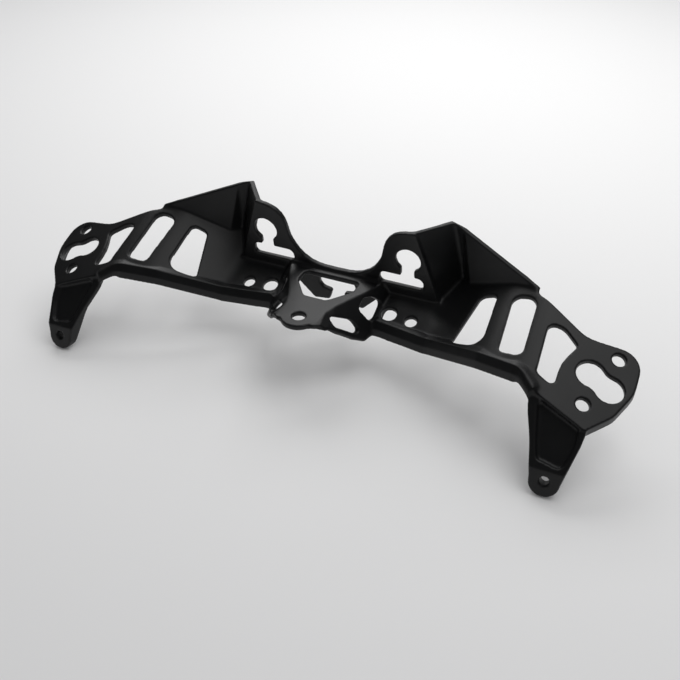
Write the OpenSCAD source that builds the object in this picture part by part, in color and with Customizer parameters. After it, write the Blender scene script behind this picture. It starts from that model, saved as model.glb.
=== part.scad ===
// Fairing stay: the one-piece cast front cowl bracket of a motorcycle.
// A sloping deck spreads into two wings with mirror mounts, two legs drop to the lower
// cowl mounts, and a nose, two ear plates and two folded hoods rise from its middle.
// Right half is modelled and mirrored. X is across, Y towards the back, Z up, in mm.
// Depths and heights below are measured from a datum at the feet; the finished part is
// moved so that the centre of the tab bore's upper rim lies at the origin.

/* [What to show] */
// Piece to show

/* [Casting] */
// Height of the deck's wall, measured square to the deck
wall = 4.5; // [3:0.1:7]
// Slope of the deck from front to back, in degrees
deck_slope = 21.5; // [0:0.5:40]
// Colour of the casting
casting_color = "#26282a"; // [#26282a, #3a3c3e, #101112]

/* [Deck profile across] */
// Height of the low middle panels over the datum
floor_h = 10.5; // [5:0.5:20]
// Where the rise to the wing starts, from the centre
rise_start = 76.3; // [60:0.1:90]
// Steepness of the rise, in degrees
rise_angle = 28; // [15:1:45]
// Where rise and wing would meet without the crown's curve
crown_x = 136.7; // [120:0.1:150]
// Fall of the wing beyond the crown, in degrees
fall_angle = 12; // [0:1:20]
// Radius of the crown
crown_r = 50; // [20:1:80]
// Radius at the foot of the rise
rise_r = 30; // [10:1:50]

/* [Wing outline] */
// Half of the whole span
half_span = 212; // [190:1:240]
// Depth at which the front edge crosses the middle panels
front_mid = 80; // [70:1:90]
// Depth of the front edge at the crown
front_crown = 58; // [50:1:70]
// Depth of the wing tip's rear edge
tip_rear = 96.2; // [90:0.1:110]
// Depth of the deck's rear edge behind the rise
rear_rise = 124; // [115:1:130]
// Fall of the rolled front lip
lip_drop = 7.5; // [4:0.5:14]
// Reach of the rolled front lip in front of the fold
lip_reach = 6; // [2:0.5:10]

/* [Mirror mount] */
// Place across of the rear mirror bolt
mirror_rear_x = 198.3; // [190:0.1:205]
// Depth of the rear mirror bolt
mirror_rear_t = 87.2; // [80:0.1:92]
// Place across of the front mirror bolt
mirror_front_x = 185.4; // [178:0.1:195]
// Depth of the front mirror bolt
mirror_front_t = 49.6; // [45:0.1:60]
// Diameter of the mirror bolt bores
mirror_bore_d = 8.5; // [6:0.1:11]

/* [Frame mounts] */
// Place across of the frame bolts
frame_bolt_x = 62.5; // [55:0.1:70]
// Depth of the frame bolts
frame_bolt_t = 89.7; // [84:0.1:95]
// Diameter of the frame bolt bores
frame_bore_d = 8.5; // [5:0.1:11]
// Diameter of the nose tab's bore
tab_bore_d = 9; // [6:0.1:12]

/* [Ear plates] */
// Lean of the ear plates towards the front, in degrees
ear_lean = 8; // [0:0.5:20]
// Depth of the ear plates' front face at ear_base_z
ear_y = 95; // [90:0.5:105]
// Height of the lowest point of the cut between the ears
ear_base_z = 60; // [55:0.5:65]
// Height of the ears
ear_top = 103.8; // [95:0.5:115]
// Thickness of ears and hoods
ear_wall = 4; // [3:0.1:6]
// Radius of the round head of the mushroom window
head_r = 8.9; // [6:0.1:11]
// Width of the window's neck
neck_w = 9.3; // [6:0.1:12]

/* [Legs] */
// Place across of the foot
foot_x = 175.6; // [165:0.1:185]
// Radius of the foot
foot_r = 9.2; // [8:0.1:14]
// Steepness of the legs, in degrees
leg_angle = 46; // [30:1:70]
// Lean of the foot's front face, in degrees
foot_lean = 16; // [0:1:30]
// Thickness of the leg at the foot
leg_wall = 12; // [8:0.5:14]
// Thickness of the leg where it meets the deck
leg_wall_top = 4.5; // [3:0.5:8]
// Depth of the recess in the leg's front
leg_recess = 2.5; // [1:0.5:4]
// Width of the leg's rims
leg_rim = 3.6; // [2:0.1:6]
// Diameter of the foot's bore
foot_bore_d = 6; // [4:0.1:8]

/* [Nose] */
// Height of the tab's top face
tab_top = 57; // [50:0.5:65]
// Depth of the tab's bore
tab_y = 36.3; // [30:0.1:40]
// Radius of the tab
tab_r = 12; // [11:0.5:16]
// Diameter of the round hole beside the nose
side_hole_d = 11; // [6:0.5:13]

/* [Hidden] */
$fn = 64;
eps = 0.01;
through = 60;           // reach of a cutter past the wall it cuts
bury = 1.5;             // how far one wall reaches into the next
corner_step = 15;       // turn between two points of a rounded corner, in degrees
sc = cos(deck_slope);
ss = sin(deck_slope);
rise_tan = tan(rise_angle);
fall_tan = tan(fall_angle);
crown_h = floor_h + (crown_x - rise_start) * rise_tan;
profile_end = half_span + through;
deck_back = rear_rise + through;
foot_face = -1;         // depth of the foot's front face at its bore
foot_hole_z = 13.7;     // height of the foot's bore
foot_drop = 1.2;        // how far the foot's round end is centred below its bore
foot_head = 9;          // how far the foot's sides reach up past its bore
leg_y = -3;             // depth at which the leg's plane has the height leg_z
leg_z = 16.5;           // height of the leg's plane at leg_y
leg_sink = 1.2;         // how far under the deck's upper face the leg's top ends
tip_rim_w = 3;          // width of the rim under the wing tip
tip_rim_drop = 4;       // depth of that rim under the deck's wall
leg_thin = 24;          // where up the leg its wall has thinned to leg_wall_top
leg_len_in = 56;        // length of the leg's inner edge
leg_len_out = 48;       // length of the leg's outer edge
leg_root = -3;          // where the leg's sides start, inside the foot
rise_len = rise_r * tan(rise_angle / 2);
crown_len = crown_r * tan((rise_angle + fall_angle) / 2);
mirror_bore_r = mirror_bore_d / 2;
frame_bore_r = frame_bore_d / 2;
foot_bore_r = foot_bore_d / 2;
tab_bore_r = tab_bore_d / 2;

// Height of the deck's upper face at a place across, straight lines only
function deck_line(x) = max(floor_h, min(floor_h + (abs(x) - rise_start) * rise_tan,
                                         crown_h - (abs(x) - crown_x) * fall_tan));
// A point given across, in depth along the slope and in height over the datum
function on_slope(x, t, n) = [x, t * sc - n * ss, t * ss + n * sc];
function unit(v) = v / norm(v);
function clampi(i, n) = max(0, min(n - 1, i));

// Arc that rounds corner b between a and c: tangent points and the curve between
function corner_arc(a, b, c, r) =
    let (u = unit(a - b), w = unit(c - b), half = acos(u * w) / 2, cut = r / tan(half),
         p = b + u * cut, q = b + w * cut, m = b + unit(u + w) * r / sin(half))
    let (s = p - m, e = q - m, turn = acos(min(1, max(-1, unit(s) * unit(e)))),
         steps = max(1, ceil(turn / corner_step)))
    [for (k = [0 : steps])
        turn < eps ? p : m + (s * sin((1 - k / steps) * turn) + e * sin(k / steps * turn)) / sin(turn)];

// Outline of corners [x, y, radius], each rounded by its own radius
function rounded(c) =
    let (n = len(c), xy = [for (p = c) [p[0], p[1]]])
    [for (i = [0 : n - 1])
        each (c[i][2] == 0 ? [xy[i]]
              : corner_arc(xy[(i + n - 1) % n], xy[i], xy[(i + 1) % n], c[i][2]))];

module outline(corners) { polygon(rounded(corners)); }

// Puts a drawing of x across and y in depth square through the deck
module through_deck(top = through, bottom = -through) {
    multmatrix([[1, 0, 0, 0], [0, sc, -ss, 0], [0, ss, sc, 0]])
        translate([0, 0, bottom]) linear_extrude(top - bottom) children();
}

// Draws out a section across the deck along its slope
module along_slope(from, to) {
    rotate([90 + deck_slope, 0, 0]) translate([0, 0, -to]) linear_extrude(to - from) children();
}

module both_sides() {
    children();
    mirror([1, 0, 0]) children();
}

// Wall of even thickness under a grid of surface points, rows by columns
module sheet(rows, thick) {
    nr = len(rows);
    nc = len(rows[0]);
    function at(i, j) = rows[clampi(i, nr)][clampi(j, nc)];
    function normal(i, j) = unit(cross(at(i, j + 1) - at(i, j - 1), at(i + 1, j) - at(i - 1, j)));
    function id(i, j, k) = k * nr * nc + i * nc + j;
    top = [for (i = [0 : nr - 1]) for (j = [0 : nc - 1]) at(i, j)];
    low = [for (i = [0 : nr - 1]) for (j = [0 : nc - 1]) at(i, j) - thick * normal(i, j)];
    polyhedron(points = concat(top, low), convexity = 4, faces = concat(
        [for (i = [0 : nr - 2]) for (j = [0 : nc - 2]) each
            [[id(i, j, 0), id(i + 1, j, 0), id(i + 1, j + 1, 0)],
             [id(i, j, 0), id(i + 1, j + 1, 0), id(i, j + 1, 0)],
             [id(i, j, 1), id(i + 1, j + 1, 1), id(i + 1, j, 1)],
             [id(i, j, 1), id(i, j + 1, 1), id(i + 1, j + 1, 1)]]],
        [for (j = [0 : nc - 2]) each
            [[id(0, j, 0), id(0, j + 1, 0), id(0, j + 1, 1)],
             [id(0, j, 0), id(0, j + 1, 1), id(0, j, 1)],
             [id(nr - 1, j, 0), id(nr - 1, j + 1, 1), id(nr - 1, j + 1, 0)],
             [id(nr - 1, j, 0), id(nr - 1, j, 1), id(nr - 1, j + 1, 1)]]],
        [for (i = [0 : nr - 2]) each
            [[id(i, 0, 0), id(i, 0, 1), id(i + 1, 0, 1)],
             [id(i, 0, 0), id(i + 1, 0, 1), id(i + 1, 0, 0)],
             [id(i, nc - 1, 0), id(i + 1, nc - 1, 1), id(i, nc - 1, 1)],
             [id(i, nc - 1, 0), id(i + 1, nc - 1, 0), id(i + 1, nc - 1, 1)]]]));
}

// Everything under the deck's upper face, right half, down to a level
module under_profile(level) {
    foot = [rise_start, floor_h];
    top = [crown_x, crown_h];
    up = [cos(rise_angle), sin(rise_angle)];
    down = [cos(fall_angle), -sin(fall_angle)];
    foot_a = foot - [rise_len, 0];
    foot_b = foot + up * rise_len;
    crown_a = top - up * crown_len;
    crown_b = top + down * crown_len;
    polygon([[-eps, level], [-eps, floor_h], foot_a, foot, foot_b, crown_a, crown_b,
             [profile_end, crown_h - (profile_end - crown_x) * fall_tan], [profile_end, level]]);
    difference() {
        polygon([foot_a, foot, foot_b]);
        translate(foot_a + [0, rise_r]) circle(rise_r);
    }
    intersection() {
        polygon([crown_a, top, crown_b]);
        translate(crown_a + [up[1], -up[0]] * crown_r) circle(crown_r);
    }
}

// The deck's wall before its outline is cut, right half
module deck_wall() {
    along_slope(0, deck_back) difference() {
        under_profile(-through);
        translate([-through, -wall - tip_rim_drop]) under_profile_wide();
    }
}

// The same region drawn past the centre line, to cut the wall's underside
module under_profile_wide() {
    translate([through, 0]) under_profile(-2 * through);
}

// All that lies over the deck's upper face lowered by a drop, right half
module over_deck(drop) {
    along_slope(0, deck_back) difference() {
        translate([0, -through]) square([profile_end - eps, 4 * through]);
        translate([0, -drop]) under_profile(-2 * through);
    }
}

module wing_outline() {
    outline([[36, front_mid + 4, 0], [60, front_mid + 1, 15], [80, front_mid - 2, 25],
             [118, front_mid - 14.5, 30], [146, front_crown, 12], [156.5, 46, 4],
             [190, 33, 3], [203.5, 48.5, 18], [half_span - 0.4, 68, 24],
             [half_span - 0.3, tip_rear, 13],
             [177, tip_rear - 1.7, 20], [129, rear_rise - 1, 8], [95, rear_rise + 0.5, 3],
             [87, 131, 0.5], [74, 109, 0.5], [36, 108, 0]]);
}

// Window whose narrow inner end follows the rise
module window_inner() {
    outline([[96.3, 73.8, 3], [105.6, 113, 4], [116.2, 112.8, 4], [117.2, 71.8, 8]]);
}

// Long window under the crown
module window_slot() {
    outline([[129.3, 67.2, 4], [127, 111.4, 6], [142.6, 111, 7], [144.2, 66.3, 5]]);
}

// Window with a hollow outer side
module window_dart() {
    outline([[155, 60, 2.5], [153.4, 96.2, 5], [163, 95.4, 9], [173.4, 86.5, 3], [166.6, 71.5, 30],
             [166.6, 54, 2.5]]);
}

// Peanut window between the two mirror bolts: two round lobes with hollow flanks
module window_peanut() {
    lobe_in = [184.8, 71.3];
    lobe_out = [197.2, 65.2];
    lobe_r = 8.7;
    flank_r = 9;
    span = norm(lobe_out - lobe_in);
    flank_y = sqrt((lobe_r + flank_r) * (lobe_r + flank_r) - span * span / 4);
    translate(lobe_in) rotate(atan2(lobe_out[1] - lobe_in[1], lobe_out[0] - lobe_in[0])) {
        circle(lobe_r);
        translate([span, 0]) circle(lobe_r);
        difference() {
            polygon([[0, 0], [span / 2, -flank_y], [span, 0], [span / 2, flank_y]]);
            for (side = [-1, 1]) translate([span / 2, side * flank_y]) circle(flank_r);
        }
    }
}

// All that is hollow under the deck's wall, inside the rim that runs round the wing's tip
module under_wall() {
    tip = rounded([[180, 34, 0], [190, 33, 3], [203.5, 48.5, 18], [half_span - 0.4, 68, 24],
                   [half_span - 0.3, tip_rear - 14, 0]]);
    n = len(tip);
    function side(i) = let (d = unit(tip[clampi(i + 1, n)] - tip[clampi(i - 1, n)])) [-d[1], d[0]];
    intersection() {
        along_slope(0, deck_back) translate([-through, -wall]) under_profile_wide();
        through_deck() polygon(concat([for (i = [0 : n - 1]) tip[i] + side(i) * tip_rim_w],
                                      [[profile_end, tip_rear - 14], [profile_end, deck_back],
                                       [-through, deck_back], [-through, 0], [180, 0]]));
    }
}

// Bore square to the deck's face at a place across and a depth; tilt is the face's fall there
module bore_through_deck(x, t, r, tilt = 0) {
    translate(on_slope(x, t, deck_top(x))) rotate([deck_slope, 0, 0]) rotate([0, tilt, 0])
        cylinder(h = through, r = r, center = true);
}

module deck() {
    difference() {
        intersection() {
            deck_wall();
            through_deck() wing_outline();
        }
        under_wall();
        through_deck() {
            window_inner();
            window_slot();
            window_dart();
            window_peanut();
        }
        bore_through_deck(46, 91.5, side_hole_d / 2);
    }
}

// Rolled lip along the front edge, from the nose to the leg
module front_lip() {
    edge = rounded([[40, front_mid + 3.4, 0], [60, front_mid + 1, 15], [80, front_mid - 2, 25],
                    [118, front_mid - 14.5, 30], [146, front_crown, 12], [156.6, 47, 0]]);
    last = len(edge) - 1;
    leg_end = [-0.5, -1];
    function dir(i) = unit([0, -1] + leg_end * max(0, 2 * i / last - 1));
    function fade(i, end) = min(1, end + 1.4 * (last - i) / last);
    function at_edge(i, out, down) =
        on_slope(edge[i][0] + dir(i)[0] * out, edge[i][1] + dir(i)[1] * out,
                 deck_top(edge[i][0]) - down);
    sheet([for (row = [[-bury, 0.4 * wall], [0.5, 0.3], [0.6 * lip_reach, 0.36 * lip_drop],
                       [lip_reach, lip_drop]])
               [for (i = [0 : last]) at_edge(i, row[0] < 0 ? row[0] : row[0] * fade(i, 0.45),
                                             row[1] * fade(i, 0.62))]], wall * 0.6);
}

// How far the curves of the profile stay under or over its straight lines
function deck_top(x) = deck_line(x) - crown_cut(x);
function crown_cut(x) =
    let (a = crown_x - crown_len * cos(rise_angle), b = crown_x + crown_len * cos(fall_angle),
         cx = a + crown_r * sin(rise_angle),
         cn = crown_h - crown_len * sin(rise_angle) - crown_r * cos(rise_angle),
         fa = rise_start - rise_len, fb = rise_start + rise_len * cos(rise_angle))
    x > a && x < b ? deck_line(x) - cn - sqrt(crown_r * crown_r - (x - cx) * (x - cx))
    : x > fa && x < fb ? deck_line(x) - (floor_h + rise_r - sqrt(rise_r * rise_r - (x - fa) * (x - fa)))
    : 0;

// Ear plate with its mushroom window, and the bar under the cut between the ears
module ear_plane() {
    translate([0, ear_y, ear_base_z]) rotate([90 + ear_lean, 0, 0])
        translate([0, -ear_base_z, -ear_wall]) linear_extrude(ear_wall) children();
}

module ear() {
    ear_plane() difference() {
        outline([[-eps, 49.5, 0], [-eps, 59.2, 0], [24.5, 59.8, 26], [34.5, 79, 12],
                 [39, 100.8, 17], [59, ear_top, 1], [77, 49.5, 0]]);
        translate([53.8, 80.8]) circle(head_r);
        translate([53.3 - neck_w / 2, 65]) square([neck_w, 12]);
        outline([[32.8, 58.2, 3], [33.3, 67.3, 4], [64.6, 67.3, 4], [64.8, 58.2, 3]]);
    }
    ear_plane() outline([[13.5, 51, 0], [30.5, 51, 0], [31, 41, 2], [19, 28, 2], [7, 30, 2],
                         [4.5, 38.5, 1.5], [12, 40.5, 1.5], [14, 44, 2]]);
}

// Folded hood: inner wall from the ear back to the valley, outer wall out to the wing
module hood() {
    ear_foot = [75, 97, 48.5];
    ear_head = [58, 89.5, 103.6];
    valley_head = [77, 114, 104];
    valley_foot = on_slope(87, 130.5, 13);
    wing_rear = on_slope(142, 116.5, deck_top(142) + 0.5);
    steps = 8;
    foot_in = valley_foot[0];
    foot_out = 140;
    sheet([concat([ear_foot, valley_foot],
                  [for (k = [1 : steps])
                       let (x = foot_in + (foot_out - foot_in) * k / steps)
                       on_slope(x, rear_rise - 1 - (k - 1) * 0.9, deck_top(x) - 3)]),
           concat([ear_head],
                  [for (k = [0 : steps]) valley_head + (wing_rear - valley_head) * k / steps])],
          ear_wall);
}

// Frame of the sloping leg: X across, Y up along the leg, Z out of its front face
module leg_plane() {
    translate([0, leg_y, leg_z]) rotate([leg_angle, 0, 0]) children();
}

// Frame of the foot: origin at its bore, Y up its leaning front face, Z out of that face
module foot_plane() {
    translate([foot_x, foot_face, foot_hole_z]) rotate([90 - foot_lean, 0, 0]) children();
}

// Side profile of the leg: thick at the foot, thin at the deck, the foot's face cut upright
module leg_profile() {
    intersection() {
        leg_plane() rotate([90, 0, 90]) linear_extrude(profile_end)
            polygon([[-through, 0], [leg_len_in, 0], [leg_len_in, -leg_wall_top],
                     [leg_thin, -leg_wall_top], [0, -leg_wall], [-through, -leg_wall]]);
        foot_plane() translate([-through, -through, -through])
            cube([2 * through, 3 * through, through]);
    }
}

// Sides of the leg and the foot seen square to their faces
module leg_outline() {
    leg_plane() translate([0, 0, -2 * leg_wall]) linear_extrude(3 * leg_wall)
        outline([[foot_x - foot_r + 0.7, leg_root, 0], [161.5, 21, 60], [155, 40, 40],
                 [154, leg_len_in + bury, 6], [191.5, leg_len_out + bury, 6], [191, 27, 30],
                 [foot_x + foot_r - 0.5, leg_root, 0]]);
    foot_plane() translate([0, 0, -through]) linear_extrude(through + bury) {
        translate([0, -foot_drop]) circle(foot_r);
        translate([-foot_r, -foot_drop]) square([2 * foot_r, foot_head + foot_drop]);
    }
}

// Recess in the leg's front, open towards the deck, with a round foot
module leg_recess_shape() {
    outline([[168, 10.6, 3], [177, 9, 8], [183, 6.8, 4.5], [191 - leg_rim, 22, 30],
             [191.5 - leg_rim, 2 * through, 0], [154 + leg_rim, 2 * through, 0],
             [154 + leg_rim, leg_len_in, 0], [161.5 + leg_rim, 21, 60]]);
}

module leg() {
    difference() {
        intersection() {
            leg_profile();
            leg_outline();
        }
        leg_plane() translate([0, 0, -leg_recess]) linear_extrude(through) leg_recess_shape();
        over_deck(leg_sink);
    }
}

// Level nose with the tab, the tulip cut behind it, and pierced walls down to the deck
module nose() {
    half_front = 14.5;
    top_back = 90;
    top_end = 95;
    top_wall = wall * 0.85;
    foot_row = [[20, 36, 53.4], [26.3, 44.2, 45.4], [33, 52.5, 37], [38, 59.5, 32],
                [41.5, 74, 32], [42, 92, 43]];
    mid_row = [[17, 33, 56], [20.3, 45.5, 52], [26.5, 54.5, 46.8], [32, 64, 45],
               [37, 80, 47.5], [39, 94, 51]];
    top_row = [[13, 29.5, tab_top], [14.5, 46, tab_top], [17.5, 56, tab_top],
               [22, 66, tab_top], [30, 82, tab_top], [35, top_end, tab_top]];
    difference() {
        translate([0, 0, tab_top - top_wall]) linear_extrude(top_wall) {
            outline([[-eps, tab_y, 0], [tab_r, tab_y, 0], [half_front, 50, 20],
                     [34, top_end, 0], [-eps, top_end, 0]]);
            translate([0, tab_y]) circle(tab_r);
        }
        translate([0, 0, tab_top - through / 2]) linear_extrude(through)
            outline([[-1, 60, 0], [8, 60, 7], [20.5, 77, 5], [20.5, top_back, 3],
                     [-1, top_back, 0]]);
    }
    difference() {
        sheet([foot_row, mid_row, top_row], wall * 0.8);
        translate([half_front / 2, 0, 0]) rotate([90, 0, 90]) linear_extrude(through) {
            outline([[43.2, 50, 2.5], [47.2, 54.2, 2.5], [59.8, 46.4, 3], [60, 38.8, 2],
                     [56, 38.8, 2]]);
            outline([[68.4, 49.6, 2.5], [77, 54, 3], [83, 52.6, 3], [87, 48, 2.5], [84, 43, 3],
                     [76, 38.8, 2.5], [70, 42, 2.5]]);
        }
    }
}

module fairing_stay() {
    color(casting_color) translate([0, -tab_y, -tab_top]) difference() {
        both_sides() {
            deck();
            front_lip();
            ear();
            hood();
            leg();
            nose();
        }
        both_sides() {
            bore_through_deck(mirror_rear_x, mirror_rear_t, mirror_bore_r, fall_angle);
            bore_through_deck(mirror_front_x, mirror_front_t, mirror_bore_r, fall_angle);
            bore_through_deck(frame_bolt_x, frame_bolt_t, frame_bore_r);
            foot_plane() cylinder(h = through, r = foot_bore_r, center = true);
        }
        translate([0, tab_y, tab_top]) cylinder(h = 2 * wall + 20, r = tab_bore_r, center = true);
    }
}

fairing_stay();
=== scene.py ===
"""Fairing stay in a plain studio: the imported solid, its edges rounded as a casting's are.

Laid out as an add-on: one operator makes the casting, one the stage. Lengths are in metres,
but for the rounding and softening of the casting, which work in millimetres.
"""

import bpy
import numpy as np
import openvdb
from bpy.props import FloatProperty, FloatVectorProperty, IntProperty, PointerProperty
from mathutils import Matrix, Vector


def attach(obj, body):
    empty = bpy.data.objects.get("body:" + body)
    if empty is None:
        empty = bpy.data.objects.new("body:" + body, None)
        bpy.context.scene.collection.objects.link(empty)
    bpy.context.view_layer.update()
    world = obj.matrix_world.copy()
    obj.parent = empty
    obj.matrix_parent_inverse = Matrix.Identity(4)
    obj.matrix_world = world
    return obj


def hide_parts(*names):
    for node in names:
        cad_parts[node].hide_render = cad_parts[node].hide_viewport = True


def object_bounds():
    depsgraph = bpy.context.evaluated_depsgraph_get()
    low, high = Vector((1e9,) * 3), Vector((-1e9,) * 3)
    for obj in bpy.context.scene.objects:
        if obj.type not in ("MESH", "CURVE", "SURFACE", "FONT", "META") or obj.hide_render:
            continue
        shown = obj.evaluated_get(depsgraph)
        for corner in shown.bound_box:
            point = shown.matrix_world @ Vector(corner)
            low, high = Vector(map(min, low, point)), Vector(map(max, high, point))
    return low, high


bl_info = {
    "name": "Fairing Stay",
    "version": (1, 0, 0),
    "blender": (4, 5, 0),
    "location": "3D View > Sidebar > Fairing Stay",
    "description": "Builds a cast fairing stay on a plain studio floor",
    "category": "Object",
}

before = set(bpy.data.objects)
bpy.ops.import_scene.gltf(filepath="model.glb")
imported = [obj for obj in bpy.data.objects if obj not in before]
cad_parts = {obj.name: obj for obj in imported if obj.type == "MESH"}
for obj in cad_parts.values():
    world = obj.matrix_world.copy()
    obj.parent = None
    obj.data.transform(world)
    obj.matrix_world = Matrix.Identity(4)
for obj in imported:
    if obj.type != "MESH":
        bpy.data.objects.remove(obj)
CAD_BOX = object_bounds()
NODE = "fairing_stay"
MM = 1000.0

# Centres in millimetres, on the viewer's right, of the places where the casting flows
# together more softly than its fillets alone.
LIP_END = (154.3, -1.8, -1.7)
HOOD_END = (142.0, 61.5, 22.5)

# The paint: how much it mirrors, how its waves compare with its grain, how finely it clouds,
# and how far the clouds shift its tone and its roughness.
PAINT_GLOSS = 0.32
WAVES_PER_GRAIN = 15.0
CLOUD_SCALE = 28.0
CLOUD_FROM, CLOUD_TO = 0.3, 0.75
TONE_LOW, TONE_HIGH = 0.82, 1.2
ROUGHNESS_LOW, ROUGHNESS_HIGH = -0.06, 0.08
WAVE_STRENGTH, GRAIN_STRENGTH = 0.5, 0.6
WAVE_HEIGHTS = 3.0

# The floor: its greys, painted as a pool of light, how far behind the casting that painted light
# is brightest, how far it takes to dull, and its bend into the wall as a share of its half width.
FLOOR_BRIGHT, FLOOR_DULL = 0.90, 0.60
BRIGHTEST_BEHIND = 0.65
DULLS_OVER = 1.35
BEND_SHARE = 0.4

# Place, aim, width and height of each soft light.
OVERHEAD = ((0.4, 0.25, 1.15), (0.0, 0.03, 0.0), 0.9, 0.8)
REAR = ((-0.6, 1.2, 1.2), (0.0, 0.1, 0.0), 1.7, 1.0)

# Directions to the right of the camera and behind it.
CAMERA_RIGHT = (0.9117, 0.4109, 0.0)
CAMERA_BACK = (0.3311, -0.7348, 0.5920)


class CastingSettings(bpy.types.PropertyGroup):
    """Sizes and finish of the casting."""
    fillet: FloatProperty(name="Fillet radius", description="Radius in the inner corners",
                          default=0.002, unit="LENGTH", min=0.0005, max=0.004)
    edge: FloatProperty(name="Edge radius", description="Radius on the outer edges",
                        default=0.0006, unit="LENGTH", min=0.0003, max=0.0012)
    voxel: FloatProperty(name="Grid step", description="Step of the distance grid",
                         default=0.0005, unit="LENGTH", min=0.0004, max=0.0015)
    keep: FloatProperty(name="Faces kept", description="Share of the faces that stay",
                        default=0.22, min=0.1, max=1.0, subtype="FACTOR")
    soft_reach: FloatProperty(name="Soft reach", description="Reach of each softened place",
                              default=0.012, unit="LENGTH", min=0.002, max=0.03)
    soft_rounds: IntProperty(name="Soft rounds", description="Times a softened place is evened",
                             default=80, min=0, max=400)
    color: FloatVectorProperty(name="Paint", description="Colour of the satin paint",
                               default=(0.0050, 0.0052, 0.0057), size=3, subtype="COLOR",
                               min=0.0, max=1.0)
    roughness: FloatProperty(name="Roughness", description="Roughness of the satin paint",
                             default=0.40, min=0.0, max=1.0, subtype="FACTOR")
    grain: FloatProperty(name="Grain size", description="Size of the cast skin's grain",
                         default=0.0011, unit="LENGTH", min=0.0003, max=0.004)
    grain_height: FloatProperty(name="Grain height", description="Height of that grain",
                                default=0.00007, unit="LENGTH", min=0.0, max=0.0005)


class StageSettings(bpy.types.PropertyGroup):
    """Camera, floor and lights of the studio."""
    eye: FloatVectorProperty(name="Camera place", description="Where the camera stands",
                             default=(0.2014, -0.3810, 0.2961), size=3, subtype="TRANSLATION",
                             unit="LENGTH")
    lens: FloatProperty(name="Lens", description="Focal length in millimetres",
                        default=42.353, min=10.0, max=200.0)
    floor_half: FloatProperty(name="Floor", description="Half of the floor's width",
                              default=3.0, unit="LENGTH", min=1.0, max=10.0)
    key: FloatProperty(name="Overhead light", description="Power of the overhead light in W",
                       default=4.5, min=0.0, max=200.0)
    rear: FloatProperty(name="Rear light", description="Power of the light from behind in W",
                        default=16.0, min=0.0, max=200.0)
    ambient: FloatProperty(name="Ambient", description="Strength of the even light around",
                           default=0.50, min=0.0, max=5.0)
    mirrored: FloatProperty(name="Mirrored room", description="Strength of the room in gloss",
                            default=0.05, min=0.0, max=5.0)


def node_arrays(obj):
    """Vertices in millimetres and triangles of a mesh object, as two whole arrays."""
    mesh = obj.data
    points = np.empty(len(mesh.vertices) * 3, np.float32)
    mesh.vertices.foreach_get("co", points)
    mesh.calc_loop_triangles()
    tris = np.empty(len(mesh.loop_triangles) * 3, np.int32)
    mesh.loop_triangles.foreach_get("vertices", tris)
    return points.reshape(-1, 3) * MM, tris.reshape(-1, 3)


def at_distance(points, faces, distance, voxel):
    """Surface that lies at a signed distance from a closed surface, in millimetres.

    The distance to the surface is worked out on a grid, negative inside, and the surface
    where that field equals the wanted distance is taken as quads.
    """
    names = {3: "triangles", 4: "quads"}
    grid = openvdb.FloatGrid.createLevelSetFromPolygons(
        points.astype(np.float32), transform=openvdb.createLinearTransform(voxelSize=voxel),
        halfWidth=abs(distance) / voxel + 2.0,
        **{names[faces.shape[1]]: faces.astype(np.uint32)})
    return grid.convertToQuads(isovalue=distance)


def rounded(points, faces, fillet, edge, voxel):
    """A closed surface with its corners rounded as in a casting, in millimetres.

    Out by the fillet radius and back in fills each inner corner with that radius. In by
    the edge radius and back out rounds each outer edge with that radius. Flat walls end
    where they began, as the three moves add up to nothing.
    """
    points, faces = at_distance(points, faces, fillet, voxel)
    points, faces = at_distance(points, faces, -fillet - edge, voxel)
    return at_distance(points, faces, edge, voxel)


def softened(points, quads, spots, reach, rounds):
    """The same surface evened out around some spots, in millimetres.

    Each round moves a point half of its weight towards the mean of its neighbours. The
    weight is one at a spot and falls to nothing at the reach, as the smooth step does.
    """
    away = np.min([np.linalg.norm(points - np.array(spot), axis=1) for spot in spots], axis=0)
    near = quads[(away[quads] < reach).any(axis=1)]
    used, corners = np.unique(near, return_inverse=True)
    corners = corners.reshape(-1, 4)
    start = np.concatenate([corners, np.roll(corners, 1, axis=1)]).ravel()
    end = np.concatenate([np.roll(corners, 1, axis=1), corners]).ravel()
    count = np.bincount(start, minlength=len(used))[:, None]
    share = np.clip(1.0 - away[used] / reach, 0.0, 1.0)[:, None]
    weight = share * share * (3.0 - 2.0 * share)
    moved = points[used].astype(float)
    for _ in range(rounds):
        total = np.stack([np.bincount(start, moved[end, axis], len(used)) for axis in range(3)], 1)
        moved += 0.5 * weight * (total / count - moved)
    result = points.copy()
    result[used] = moved
    return result


def mesh_from(name, points, quads):
    """Mesh of quads put in as whole arrays and smooth shaded, its points in metres."""
    mesh = bpy.data.meshes.new(name)
    mesh.vertices.add(len(points))
    mesh.vertices.foreach_set("co", points.astype(np.float32).ravel())
    mesh.loops.add(quads.size)
    mesh.loops.foreach_set("vertex_index", quads.astype(np.int32).ravel())
    mesh.polygons.add(len(quads))
    mesh.polygons.foreach_set("loop_start", np.arange(0, quads.size, 4, dtype=np.int32))
    mesh.update(calc_edges=True)
    mesh.validate()
    mesh.shade_smooth()
    return mesh


def new_nodes(name):
    """New material, its node tree and its one shader."""
    material = bpy.data.materials.new(name)
    material.use_nodes = True
    tree = material.node_tree
    shader = tree.nodes["Principled BSDF"]
    return material, tree, shader


def add(tree, kind, **values):
    """Node of a kind with its sockets set by name."""
    node = tree.nodes.new(kind)
    for key, value in values.items():
        node.inputs[key.replace("_", " ")].default_value = value
    return node


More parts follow.
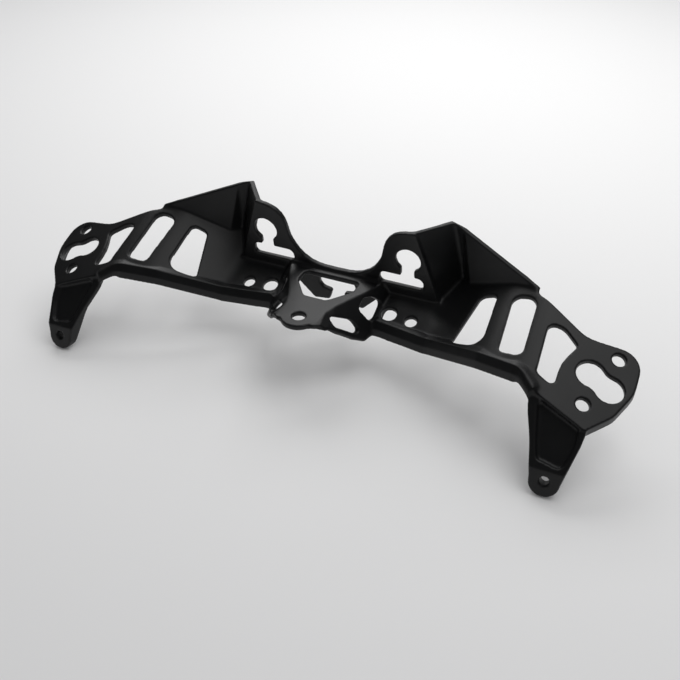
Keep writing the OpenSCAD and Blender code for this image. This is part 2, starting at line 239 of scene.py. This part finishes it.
def casting_material(settings):
    """Satin black paint over a cast skin: fine grain, slow waves and a little cloudiness.

    The grain is noise at the grain size and the waves are noise at several times that, both
    in object coordinates as bump. A broad noise shifts the roughness and the tone.
    """
    material, tree, shader = new_nodes("satin_black_casting")
    links = tree.links
    place = tree.nodes.new("ShaderNodeTexCoord")
    shader.inputs["Specular IOR Level"].default_value = PAINT_GLOSS
    shader.inputs["IOR"].default_value = 1.5

    grain = add(tree, "ShaderNodeTexNoise", Scale=1.0 / settings.grain, Detail=3.0,
                Roughness=0.55)
    waves = add(tree, "ShaderNodeTexNoise", Scale=1.0 / (WAVES_PER_GRAIN * settings.grain),
                Detail=2.0, Roughness=0.5)
    cloud = add(tree, "ShaderNodeTexNoise", Scale=CLOUD_SCALE, Detail=4.0, Roughness=0.6)
    for texture in (grain, waves, cloud):
        links.new(place.outputs["Object"], texture.inputs["Vector"])

    tone = tree.nodes.new("ShaderNodeValToRGB")
    low, high = tone.color_ramp.elements
    low.position, high.position = CLOUD_FROM, CLOUD_TO
    low.color = (*(c * TONE_LOW for c in settings.color), 1.0)
    high.color = (*(c * TONE_HIGH for c in settings.color), 1.0)
    links.new(cloud.outputs["Fac"], tone.inputs["Fac"])
    links.new(tone.outputs["Color"], shader.inputs["Base Color"])

    satin = tree.nodes.new("ShaderNodeMapRange")
    satin.inputs["To Min"].default_value = settings.roughness + ROUGHNESS_LOW
    satin.inputs["To Max"].default_value = settings.roughness + ROUGHNESS_HIGH
    links.new(cloud.outputs["Fac"], satin.inputs["Value"])
    links.new(satin.outputs["Result"], shader.inputs["Roughness"])

    coarse = add(tree, "ShaderNodeBump", Strength=WAVE_STRENGTH,
                 Distance=settings.grain_height * WAVE_HEIGHTS)
    fine = add(tree, "ShaderNodeBump", Strength=GRAIN_STRENGTH,
               Distance=settings.grain_height)
    links.new(waves.outputs["Fac"], coarse.inputs["Height"])
    links.new(grain.outputs["Fac"], fine.inputs["Height"])
    links.new(coarse.outputs["Normal"], fine.inputs["Normal"])
    links.new(fine.outputs["Normal"], shader.inputs["Normal"])
    return material


def floor_painted_light_material(name, bright, dull, centre, reach):
    """Matt floor with a painted pool of light, brightest round a centre and duller with the
    distance from it.

    The painted light runs smoothly from bright at the centre to dull at the reach, in object
    coordinates.
    """
    material, tree, shader = new_nodes(name)
    links = tree.links
    place = tree.nodes.new("ShaderNodeTexCoord")
    away = tree.nodes.new("ShaderNodeVectorMath")
    away.operation = "DISTANCE"
    away.inputs[1].default_value = centre
    grade = tree.nodes.new("ShaderNodeMapRange")
    grade.interpolation_type = "SMOOTHSTEP"
    grade.inputs["From Max"].default_value = reach
    tone = tree.nodes.new("ShaderNodeValToRGB")
    low, high = tone.color_ramp.elements
    low.color = (bright, bright, bright, 1.0)
    high.color = (dull, dull, dull * 1.01, 1.0)
    links.new(place.outputs["Object"], away.inputs[0])
    links.new(away.outputs["Value"], grade.inputs["Value"])
    links.new(grade.outputs["Result"], tone.inputs["Fac"])
    links.new(tone.outputs["Color"], shader.inputs["Base Color"])
    shader.inputs["Roughness"].default_value = 0.75
    shader.inputs["Specular IOR Level"].default_value = 0.1
    return material


def room_light(world, strength, mirrored):
    """Even white light all round, with its own strength where a glossy surface mirrors it."""
    world.use_nodes = True
    tree = world.node_tree
    sky = tree.nodes["Background"]
    sky.inputs["Color"].default_value = (1.0, 1.0, 1.0, 1.0)
    sky.inputs["Strength"].default_value = strength
    dim = tree.nodes.new("ShaderNodeBackground")
    dim.inputs["Color"].default_value = (1.0, 1.0, 1.0, 1.0)
    dim.inputs["Strength"].default_value = mirrored
    ray = tree.nodes.new("ShaderNodeLightPath")
    mix = tree.nodes.new("ShaderNodeMixShader")
    tree.links.new(ray.outputs["Is Glossy Ray"], mix.inputs["Fac"])
    tree.links.new(sky.outputs["Background"], mix.inputs[1])
    tree.links.new(dim.outputs["Background"], mix.inputs[2])
    tree.links.new(mix.outputs["Shader"], tree.nodes["World Output"].inputs["Surface"])


def sweep_points(half, level, bend, columns, steps):
    """Floor that curves up into a wall: rows of points across, given as one array.

    Along the depth the section is a straight floor, a quarter circle of radius bend and a
    straight wall; across it is the same from minus half to plus half.
    """
    turn = np.linspace(0.0, np.pi / 2.0, steps)
    curve = np.stack([half - bend + bend * np.sin(turn), bend - bend * np.cos(turn)], 1)
    section = np.concatenate([[[-half, 0.0]], curve, [[half, half]]])
    across = np.linspace(-half, half, columns)
    points = np.empty((len(section), columns, 3))
    points[..., 0] = across[None, :]
    points[..., 1] = section[:, 0, None]
    points[..., 2] = level + section[:, 1, None]
    return points


def grid_quads(rows, columns):
    """Quads of a grid of points, as one array of corner numbers."""
    corner = (np.arange(rows - 1)[:, None] * columns + np.arange(columns - 1)[None, :]).ravel()
    return np.stack([corner, corner + 1, corner + columns + 1, corner + columns], 1)


def area_light(name, place, aim, width, height, power):
    """Soft rectangular light at a place, turned to a point."""
    data = bpy.data.lights.new(name, "AREA")
    data.shape = "RECTANGLE"
    data.size, data.size_y = width, height
    data.energy = power
    lamp = bpy.data.objects.new(name, data)
    lamp.location = place
    lamp.rotation_euler = (Vector(aim) - Vector(place)).to_track_quat("-Z", "Y").to_euler()
    bpy.context.scene.collection.objects.link(lamp)
    return lamp


class FSTAY_OT_casting(bpy.types.Operator):
    """Makes the casting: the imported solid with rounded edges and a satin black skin"""
    bl_idname = "fairing_stay.casting"
    bl_label = "Casting"

    def execute(self, context):
        settings = context.scene.fairing_stay_casting
        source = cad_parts.get(NODE)
        if source is None:
            raise RuntimeError("The packed model has no node " + NODE)
        points, tris = node_arrays(source)
        points, quads = rounded(points, tris, settings.fillet * MM, settings.edge * MM,
                                settings.voxel * MM)
        if len(quads) == 0:
            raise RuntimeError("The rounding left no surface")
        spots = [(side * x, y, z) for x, y, z in (LIP_END, HOOD_END) for side in (-1, 1)]
        points = softened(points, quads, spots, settings.soft_reach * MM, settings.soft_rounds)
        obj = bpy.data.objects.new("casting", mesh_from("casting", points / MM, quads))
        context.scene.collection.objects.link(obj)
        thin = obj.modifiers.new("fewer_faces", "DECIMATE")
        thin.ratio = settings.keep
        shade = obj.modifiers.new("even_shading", "WEIGHTED_NORMAL")
        shade.weight = 50
        obj.data.materials.append(casting_material(settings))
        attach(obj, "root")
        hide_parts(NODE)
        return {"FINISHED"}


class FSTAY_OT_stage(bpy.types.Operator):
    """Makes the pale floor with its painted pool of light, the soft lights and the camera"""
    bl_idname = "fairing_stay.stage"
    bl_label = "Stage"

    def execute(self, context):
        settings = context.scene.fairing_stay_stage
        scene = context.scene
        low = CAD_BOX[0][2]
        half = settings.floor_half

        points = sweep_points(half, low, half * BEND_SHARE, 9, 13)
        mesh = mesh_from("floor", points.reshape(-1, 3),
                         grid_quads(points.shape[0], points.shape[1]))
        floor = bpy.data.objects.new("floor", mesh)
        scene.collection.objects.link(floor)
        # The floor's grey is a painted pool of light, brightest behind the casting and duller away
        # from it.
        floor.data.materials.append(floor_painted_light_material("pale_floor_painted_light", FLOOR_BRIGHT, FLOOR_DULL,
                                                   (0.0, BRIGHTEST_BEHIND, low), DULLS_OVER))

        scene.world = scene.world or bpy.data.worlds.new("studio")
        room_light(scene.world, settings.ambient, settings.mirrored)
        area_light("overhead", *OVERHEAD, settings.key)
        area_light("rear", *REAR, settings.rear)

        data = bpy.data.cameras.new("camera")
        data.lens = settings.lens
        data.sensor_width = 36.0
        data.clip_start = 0.01
        data.dof.use_dof = False
        camera = bpy.data.objects.new("camera", data)
        right = Vector(CAMERA_RIGHT).normalized()
        back = Vector(CAMERA_BACK).normalized()
        up = back.cross(right).normalized()
        back = right.cross(up)
        turn = Matrix((right, up, back)).transposed().to_4x4()
        camera.matrix_world = Matrix.Translation(Vector(settings.eye)) @ turn
        scene.collection.objects.link(camera)
        scene.camera = camera
        scene.view_settings.view_transform = "Standard"
        return {"FINISHED"}


class FSTAY_PT_panel(bpy.types.Panel):
    """Sidebar panel with the settings and the two steps"""
    bl_idname = "FSTAY_PT_panel"
    bl_label = "Fairing Stay"
    bl_space_type = "VIEW_3D"
    bl_region_type = "UI"
    bl_category = "Fairing Stay"

    def draw(self, context):
        for group, step in (("fairing_stay_casting", "fairing_stay.casting"),
                            ("fairing_stay_stage", "fairing_stay.stage")):
            settings = getattr(context.scene, group)
            box = self.layout.box()
            for name in settings.__annotations__:
                box.prop(settings, name)
            box.operator(step)


CLASSES = (CastingSettings, StageSettings, FSTAY_OT_casting, FSTAY_OT_stage, FSTAY_PT_panel)


def register():
    for cls in CLASSES:
        bpy.utils.register_class(cls)
    bpy.types.Scene.fairing_stay_casting = PointerProperty(type=CastingSettings)
    bpy.types.Scene.fairing_stay_stage = PointerProperty(type=StageSettings)


def unregister():
    del bpy.types.Scene.fairing_stay_stage
    del bpy.types.Scene.fairing_stay_casting
    for cls in reversed(CLASSES):
        bpy.utils.unregister_class(cls)


def main():
    """Registers the add-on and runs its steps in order."""
    register()
    bpy.ops.fairing_stay.stage()
    bpy.ops.fairing_stay.casting()
    bpy.context.view_layer.update()


if __name__ == "__main__":
    main()
